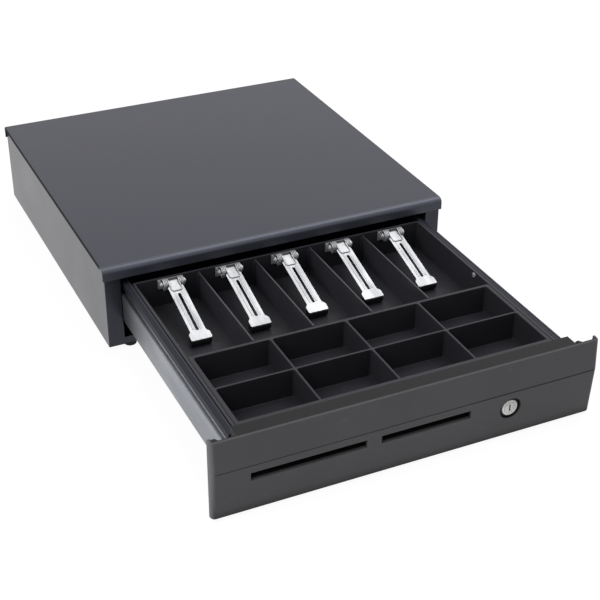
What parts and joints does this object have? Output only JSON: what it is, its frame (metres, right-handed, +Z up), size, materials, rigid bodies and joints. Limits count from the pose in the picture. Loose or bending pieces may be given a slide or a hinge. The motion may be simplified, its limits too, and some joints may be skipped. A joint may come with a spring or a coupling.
{
  "type": "cash drawer",
  "caption": "Steel counter cash drawer with a slide-out drawer, lift-out till with sprung note clips and a scooped coin tray, a lock and media slots.",
  "frame": {"origin": "on the table under the middle of the whole object as it stands open, at the bottom of its feet", "axes": "-Y is the front where the drawer comes out, +Z is up, +X is to the right of someone who faces the front"},
  "size_m": [0.4128, 0.7226, 0.104],
  "materials": {
    "cover_paint": "fine-textured charcoal powder coat",
    "cabinet_paint": "fine-textured grey powder coat",
    "drawer_paint": "smooth dark powder coat",
    "zinc_steel": "zinc-plated sheet",
    "spring_steel": "bright nickel-plated steel",
    "screw_steel": "zinc-plated",
    "panel_plastic": "fine-textured moulded plastic",
    "till_plastic": "satin black moulded plastic",
    "coin_plastic": "satin black moulded plastic",
    "divider_plastic": "satin black plastic plate",
    "pad_plastic": "soft black plastic",
    "black_rubber": "black rubber",
    "lock_chrome": "satin chrome",
    "lock_brass": "plain brass",
    "coil_tape": "yellow winding tape",
    "jack_plastic": "black moulded plastic",
    "lead_sheath": "flexible sheath"
  },
  "bodies": {
    "cabinet": {"top_cover": "cover_paint", "left_side_panel": "cabinet_paint", "right_side_panel": "cabinet_paint", "rear_panel": "cabinet_paint", "base_pan": "cabinet_paint", "front_top_rail": "cabinet_paint", "cabinet_screws": "screw_steel", "rubber_feet": "black_rubber", "left_slide_channel": "zinc_steel", "right_slide_channel": "zinc_steel", "slide_brackets": "zinc_steel", "solenoid_frame": "zinc_steel", "solenoid_coil": "coil_tape", "latch_bracket": "zinc_steel", "latch_pin": "spring_steel", "push_bracket": "zinc_steel", "port_jack": "jack_plastic", "solenoid_lead": "lead_sheath", "plunger_spring": "spring_steel", "push_spring": "spring_steel"},
    "drawer": {"drawer_box": "drawer_paint", "front_panel": "panel_plastic", "drawer_screws": "screw_steel", "left_slide_rail": "zinc_steel", "right_slide_rail": "zinc_steel", "strike_plate": "zinc_steel", "lock_housing": "lock_chrome", "lock_nut": "zinc_steel", "till_supports": "zinc_steel", "panel_bumpers": "black_rubber"},
    "ball_cages": {"ball_cages": "zinc_steel", "slide_balls": "spring_steel"},
    "lock": {"lock_plug": "lock_chrome", "lock_cam": "lock_brass", "lock_cam_screw": "screw_steel"},
    "till": {"till_tray": "till_plastic", "coin_tray": "coin_plastic", "note_dividers": "divider_plastic", "till_rivets": "spring_steel", "clip_brackets": "spring_steel", "clip_pins": "spring_steel"},
    "latch": {"latch_lever": "zinc_steel"},
    "plunger": {"solenoid_plunger": "spring_steel"},
    "push_rod": {"push_rod": "zinc_steel"},
    "clip_1": {"clip_arm_1": "spring_steel", "clip_pad_1": "pad_plastic", "clip_spring_1": "spring_steel"},
    "clip_2": {"clip_arm_2": "spring_steel", "clip_pad_2": "pad_plastic", "clip_spring_2": "spring_steel"},
    "clip_3": {"clip_arm_3": "spring_steel", "clip_pad_3": "pad_plastic", "clip_spring_3": "spring_steel"},
    "clip_4": {"clip_arm_4": "spring_steel", "clip_pad_4": "pad_plastic", "clip_spring_4": "spring_steel"},
    "clip_5": {"clip_arm_5": "spring_steel", "clip_pad_5": "pad_plastic", "clip_spring_5": "spring_steel"}
  },
  "joints": [
    {"name": "drawer_slide", "type": "slide", "parent": "cabinet", "child": "drawer", "axis": [0, -1, 0], "range_m": [-0.29, 0]},
    {"name": "cage_slide", "type": "slide", "parent": "cabinet", "child": "ball_cages", "axis": [0, -1, 0], "range_m": [-0.145, 0]},
    {"name": "till_lift", "type": "slide", "parent": "drawer", "child": "till", "axis": [0, 0, 1], "range_m": [0, 0.11]},
    {"name": "lock_turn", "type": "hinge", "parent": "drawer", "child": "lock", "pos_m": [0.1077, -0.341, 0.0363], "axis": [0, 1, 0], "range_deg": [0, 90]},
    {"name": "latch_pivot", "type": "hinge", "parent": "cabinet", "child": "latch", "pos_m": [0.008, 0.32765, 0.02625], "axis": [0, 0, 1], "range_deg": [0, 18]},
    {"name": "plunger_slide", "type": "slide", "parent": "cabinet", "child": "plunger", "axis": [-1, 0, 0], "range_m": [0, 0.00439], "stiffness_N_per_m": 50, "springref_m": -0.005, "deforming": ["plunger_spring"]},
    {"name": "push_slide", "type": "slide", "parent": "cabinet", "child": "push_rod", "axis": [0, -1, 0], "range_m": [-0.0182, 0], "deforming": ["push_spring"]},
    {"name": "clip_1_hinge", "type": "hinge", "parent": "till", "child": "clip_1", "pos_m": [-0.1328, -0.06475, 0.08], "axis": [-1, 0, 0], "range_deg": [0, 95], "stiffness_Nm_per_rad": 0.04, "springref_deg": -91.67},
    {"name": "clip_2_hinge", "type": "hinge", "parent": "till", "child": "clip_2", "pos_m": [-0.0664, -0.06475, 0.08], "axis": [-1, 0, 0], "range_deg": [0, 95], "stiffness_Nm_per_rad": 0.04, "springref_deg": -91.67},
    {"name": "clip_3_hinge", "type": "hinge", "parent": "till", "child": "clip_3", "pos_m": [0, -0.06475, 0.08], "axis": [-1, 0, 0], "range_deg": [0, 95], "stiffness_Nm_per_rad": 0.04, "springref_deg": -91.67},
    {"name": "clip_4_hinge", "type": "hinge", "parent": "till", "child": "clip_4", "pos_m": [0.0664, -0.06475, 0.08], "axis": [-1, 0, 0], "range_deg": [0, 95], "stiffness_Nm_per_rad": 0.04, "springref_deg": -91.67},
    {"name": "clip_5_hinge", "type": "hinge", "parent": "till", "child": "clip_5", "pos_m": [0.1328, -0.06475, 0.08], "axis": [-1, 0, 0], "range_deg": [0, 95], "stiffness_Nm_per_rad": 0.04, "springref_deg": -91.67}
  ],
  "couplings": [
    {"joint": "cage_slide", "follows": "drawer_slide", "ratio": 0.5},
    {"joint": "latch_pivot", "follows": "plunger_slide", "rad_per_m": 71.4},
    {"joint": "push_slide", "follows": "drawer_slide", "ratio": 0.062069}
  ]
}
